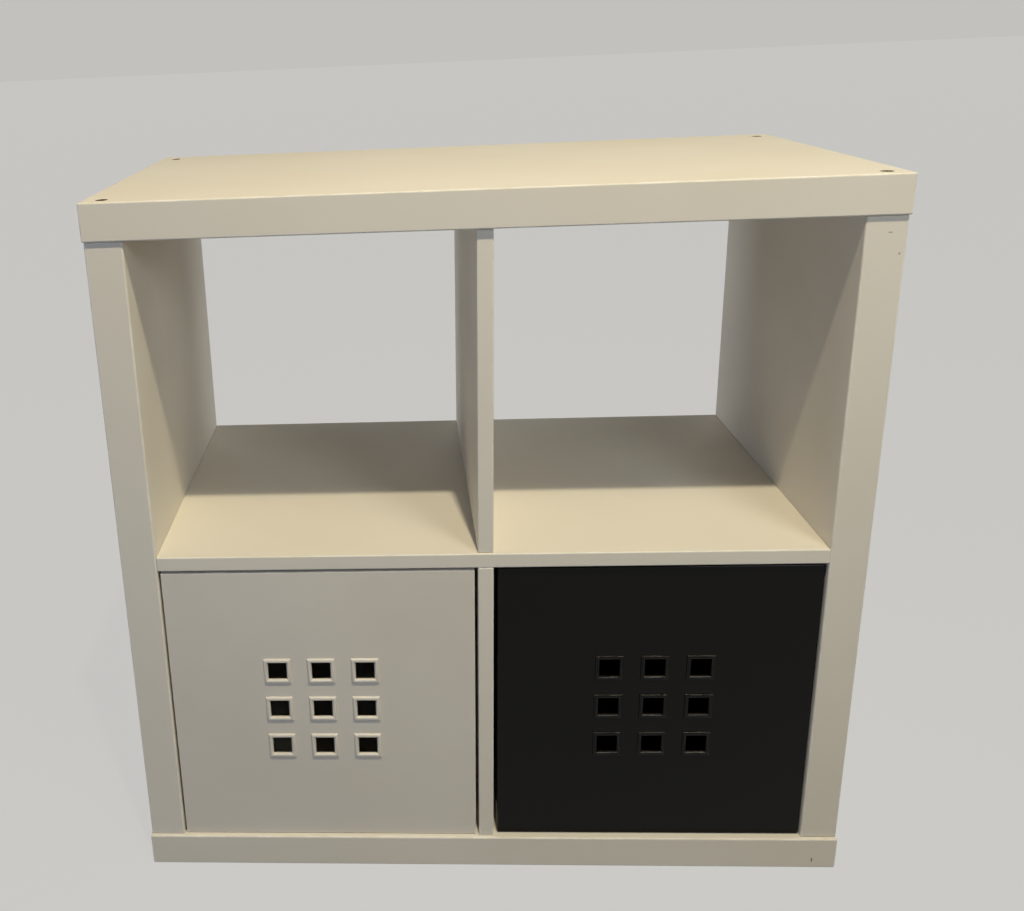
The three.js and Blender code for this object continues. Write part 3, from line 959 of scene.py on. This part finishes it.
def screw_thread():
    """One tooth in profile, wound up the shank."""
    core = SCREW_SHANK_DIAMETER / 2 - THREAD_DEPTH
    low = TIP_LENGTH - (SCREW_LENGTH - SCREW_HEAD_HEIGHT)
    turns = round(THREAD_LENGTH / THREAD_PITCH) - 1
    root = core - THREAD_ROOT_OVERLAP
    crest = SCREW_SHANK_DIAMETER / 2
    middle = low + THREAD_ROOT_SHARE * THREAD_PITCH / 2
    bpy.ops.object.select_all(action="DESELECT")
    bpy.ops.mesh.primitive_plane_add(
        size=1, location=((root + crest) / 2, 0, middle), rotation=(math.pi / 2, 0, 0))
    thread = bpy.context.object
    thread.scale = (crest - root, THREAD_ROOT_SHARE * THREAD_PITCH, 1)
    bpy.ops.object.transform_apply(location=True, rotation=True, scale=True)
    open_up(thread, "EDGE")
    pick(thread, "EDGE", lambda edge: all(abs(v.co.x - crest) < NEAR for v in edge.verts))
    narrow = THREAD_CREST_SHARE / THREAD_ROOT_SHARE
    bpy.ops.transform.resize(value=(1, 1, narrow), center_override=(crest, 0, middle))
    bpy.ops.mesh.select_all(action="SELECT")
    bpy.ops.mesh.delete(type="ONLY_FACE")
    close_up()
    apply_modifier(thread, "SCREW", axis="Z", angle=2 * math.pi, screw_offset=THREAD_PITCH,
                   iterations=turns, steps=THREAD_STEPS, render_steps=THREAD_STEPS,
                   use_merge_vertices=True, merge_threshold=NEAR / 10, use_smooth_shade=False)
    open_up(thread, "EDGE")
    pick(thread, "EDGE", lambda edge: edge.is_boundary)
    bpy.ops.mesh.edge_face_add()
    bpy.ops.mesh.select_all(action="SELECT")
    bpy.ops.mesh.normals_make_consistent(inside=False)
    close_up()
    return thread


# %% [markdown]
# The three parts are joined and shaded once. The screw is then copied to its eight places,
# each copy with its own mesh. The four at the bottom are turned over, so their heads look
# down.

# %% Eight screws
def make_first_screw():
    screw = join_pieces([screw_head(), screw_shank(), screw_thread()])
    smooth_shading(screw)
    return screw


first_screw = make_first_screw()
for node in screw_nodes:
    low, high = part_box(node)
    middle = (low + high) / 2
    from_top = middle.z > UNIT_MIDDLE[2]
    take(first_screw)
    bpy.ops.object.duplicate()
    screw = bpy.context.object
    screw.name = node + "_threaded"
    screw.data.name = screw.name
    if not from_top:
        screw.rotation_euler = (math.pi, 0, 0)
    seat = high.z - SCREW_HEAD_HEIGHT if from_top else low.z + SCREW_HEAD_HEIGHT
    screw.location = (middle.x, middle.y, seat)
    bpy.ops.object.transform_apply(location=True, rotation=True, scale=True)
    finish_piece(screw, zinc_steel, "zinc_steel", "cabinet", node)
bpy.data.objects.remove(first_screw)

# %% [markdown]
# A box is five moulded panels. The front and the back are shallow trays: a flat skin with a
# return flange all round. A tray starts as a block, whose open side is inset by the wall and
# pushed in. Then the outer edges are rounded, as the mould leaves them. Three slots in each
# side flange take the hooks of the side walls.

# %% Trays
SKIN = 2.5 * MM
FLANGE_DEPTH = 14 * MM
MOULD_ROUND = 1.5 * MM
MOULD_STEPS = 4
MOUTH_EASE = 0.3 * MM
SNAP_WIDTH = 14 * MM
SNAP_LENGTH = 6 * MM
SNAP_FROM_MOUTH = 3 * MM
SNAP_MARGIN = 45 * MM
SNAP_SHARES = (0, 0.5, 1)


def make_tray(name, low, high, face_y, mouth_y):
    """A skin at face_y with flanges that run to mouth_y."""
    inward = 1 if mouth_y > face_y else -1
    tray = block(name, (low.x, min(face_y, mouth_y), low.z), (high.x, max(face_y, mouth_y), high.z))
    open_up(tray, "FACE")
    pick(tray, "FACE", lambda face: face.normal.y * inward > FACING)
    bpy.ops.mesh.inset(thickness=SKIN, depth=0)
    push = face_y + inward * SKIN - mouth_y
    bpy.ops.mesh.extrude_region_move(TRANSFORM_OT_translate={"value": (0, push, 0)})

    def on_outside(edge):
        for corner in edge.verts:
            x, y, z = corner.co
            sides = (abs(x - low.x) < NEAR or abs(x - high.x) < NEAR) + (
                abs(z - low.z) < NEAR or abs(z - high.z) < NEAR)
            if sides < 2:
                return False
        at_mouth = all(abs(corner.co.y - mouth_y) < NEAR for corner in edge.verts)
        return not at_mouth

    pick(tray, "EDGE", on_outside)
    bpy.ops.mesh.bevel(offset=MOULD_ROUND, segments=MOULD_STEPS, profile=0.5, affect="EDGES")
    pick(tray, "EDGE", lambda edge: all(abs(v.co.y - mouth_y) < NEAR for v in edge.verts))
    bpy.ops.mesh.bevel(offset=MOUTH_EASE, segments=2, profile=0.5, affect="EDGES")
    close_up()
    return tray


def cut_snap_slots(tray, low, high, mouth_y, face_y):
    """Three slots through each side flange, for the hooks of the side walls."""
    inward = 1 if mouth_y > face_y else -1
    far = mouth_y - inward * (SNAP_FROM_MOUTH - DOWEL_CLEARANCE)
    near = far - inward * (SNAP_LENGTH + 2 * DOWEL_CLEARANCE)
    half = SNAP_WIDTH / 2 + DOWEL_CLEARANCE
    cutters = []
    for share in SNAP_SHARES:
        z = low.z + SNAP_MARGIN + share * (high.z - low.z - 2 * SNAP_MARGIN)
        for side_x, out in ((low.x, -1), (high.x, 1)):
            edges = sorted((side_x + out * DRILL_OVERRUN, side_x - out * (SKIN + DRILL_OVERRUN / 2)))
            cutters.append(block("slot_cutter", (edges[0], min(near, far), z - half),
                                 (edges[1], max(near, far), z + half)))
    cut_with(tray, join_pieces(cutters))


# %% [markdown]
# The windows are what makes this moulding. The front skin is scored along the outside of the
# nine rims, and the inner skin along the nine holes, a little wider there, as a mould has it.
# Each square of the front is then inset step by step: steeply up from the face, over a
# rounded ridge, and steeply down to the hole. The small squares that remain, front and inner,
# are deleted and their borders bridged, and the hole is open.

# %% Box front
WINDOW_HOLE = 20 * MM
WINDOW_PITCH = 47.4 * MM
WINDOW_SHARES = (-1, 0, 1)
HOLE_FLARE = 1 * MM
RIM_STEPS = (
    (0.4 * MM, 0.95 * MM),
    (0.55 * MM, 0.7 * MM),
    (0.65 * MM, 0.45 * MM),
    (0.8 * MM, 0.2 * MM),
    (0.6 * MM, 0),
    (0.6 * MM, -0.2 * MM),
    (0.5 * MM, -0.5 * MM),
    (0.5 * MM, -0.75 * MM),
    (0.4 * MM, -0.85 * MM),
)
RIM_WIDTH = sum(run for run, rise in RIM_STEPS)
RIM_HEIGHT = sum(rise for run, rise in RIM_STEPS if rise > 0)


def score(piece, level, lines, axis):
    """Cuts the flat faces at y = level along lines of constant x or z."""
    normal = (1, 0, 0) if axis == 0 else (0, 0, 1)
    for line in lines:
        pick(piece, "FACE", lambda face: abs(face.calc_center_median().y - level) < NEAR
             and abs(face.normal.y) > FACING)
        place = (line, 0, 0) if axis == 0 else (0, 0, line)
        bpy.ops.mesh.bisect(plane_co=place, plane_no=normal)


def make_windows(tray, middle, face_y, inner_y):
    centres = [(middle.x + column * WINDOW_PITCH, middle.z + row * WINDOW_PITCH)
               for row in WINDOW_SHARES for column in WINDOW_SHARES]
    outer = WINDOW_HOLE / 2 + RIM_WIDTH
    inner = WINDOW_HOLE / 2 + HOLE_FLARE
    open_up(tray, "FACE")
    for level, half in ((face_y, outer), (inner_y, inner)):
        for axis, centre in ((0, middle.x), (2, middle.z)):
            lines = [centre + share * WINDOW_PITCH + side * half
                     for share in WINDOW_SHARES for side in (-1, 1)]
            score(tray, level, lines, axis)

    def is_window(face, level, half):
        place = face.calc_center_median()
        if abs(place.y - level) > NEAR or abs(face.normal.y) < FACING:
            return False
        return any(abs(place.x - x) < NEAR and abs(place.z - z) < NEAR for x, z in centres)

    found = pick(tray, "FACE", lambda face: is_window(face, face_y, outer))
    print(tray.name, "has", found, "windows")
    for run, rise in RIM_STEPS:
        bpy.ops.mesh.inset(thickness=run, depth=rise, use_individual=True)
    bpy.ops.mesh.delete(type="FACE")
    pick(tray, "FACE", lambda face: is_window(face, inner_y, inner))
    bpy.ops.mesh.delete(type="FACE")
    for x, z in centres:
        pick(tray, "EDGE", lambda edge: edge.is_boundary and all(
            max(abs(v.co.x - x), abs(v.co.z - z)) < inner + NEAR for v in edge.verts))
        bpy.ops.mesh.bridge_edge_loops()
    close_up()


def make_box_front(name, node):
    low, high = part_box(node)
    face_y = low.y + RIM_HEIGHT
    front = make_tray(name, low, high, face_y, high.y)
    cut_snap_slots(front, low, high, high.y, face_y)
    make_windows(front, (low + high) / 2, face_y, face_y + SKIN)
    smooth_shading(front)
    mark_arrises(front)
    return front


white_front = make_box_front("white_box_front_panel", "white_box_front")
finish_piece(white_front, white_plastic, "white_plastic", "white_box", "white_box_front")

# %% [markdown]
# The back is the same tray without windows, turned the other way: its skin is at the back and
# its flanges reach forwards.

# %% Box back
def make_box_back(name, node):
    low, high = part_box(node)
    back = make_tray(name, low, high, high.y, low.y)
    cut_snap_slots(back, low, high, low.y, high.y)
    smooth_shading(back)
    mark_arrises(back)
    return back


white_back = make_box_back("white_box_back_panel", "white_box_back")
finish_piece(white_back, white_plastic, "white_plastic", "white_box", "white_box_back")

# %% [markdown]
# The walls and the floor have the right shape in CAD: beads, hooks and tongues. What they lack
# is the softness of moulded edges. A copy of each is merged into one clean mesh, its flat
# triangles are dissolved into whole faces, and a narrow bevel rounds what is left of the edges.

# %% Box walls and floor
WALL_EASE = 0.35 * MM
EASE_FROM = math.radians(25)


def soften_copy(node, name):
    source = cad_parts[node]
    copy = bpy.data.objects.new(name, source.data.copy())
    bpy.context.collection.objects.link(copy)
    copy.data.name = name
    open_up(copy, "FACE")
    bpy.ops.mesh.select_all(action="SELECT")
    bpy.ops.mesh.remove_doubles(threshold=0.005 * MM)
    bpy.ops.mesh.dissolve_limited(angle_limit=math.radians(1))
    bpy.ops.mesh.normals_make_consistent(inside=False)
    close_up()
    apply_modifier(copy, "BEVEL", width=WALL_EASE, segments=2, limit_method="ANGLE",
                   angle_limit=EASE_FROM, use_clamp_overlap=True)
    smooth_shading(copy)
    mark_arrises(copy)
    return copy


white_mouldings = {"front": white_front, "back": white_back}
for part in ("left_wall", "right_wall", "floor"):
    node = "white_box_" + part
    white_mouldings[part] = soften_copy(node, node + "_moulding")
    finish_piece(white_mouldings[part], white_plastic, "white_plastic", "white_box", node)

# %% [markdown]
# Both boxes come out of the same moulds. Each moulding of the white box is copied with its own
# mesh, moved to where the CAD model has the black one, and given the black finish.

# %% Black box
def copy_to(piece, name, shift):
    """A copy with a mesh of its own, moved by a shift that ends up in the mesh."""
    take(piece)
    bpy.ops.object.duplicate()
    copy = bpy.context.object
    copy.name = name
    copy.data.name = name
    copy.location = shift
    bpy.ops.object.transform_apply(location=True, rotation=True, scale=True)
    return copy


for part, moulding in white_mouldings.items():
    node = "black_box_" + part
    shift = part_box(node)[0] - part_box("white_box_" + part)[0]
    copy = copy_to(moulding, moulding.name.replace("white", "black"), shift)
    finish_piece(copy, black_plastic, "black_plastic", "black_box", node)
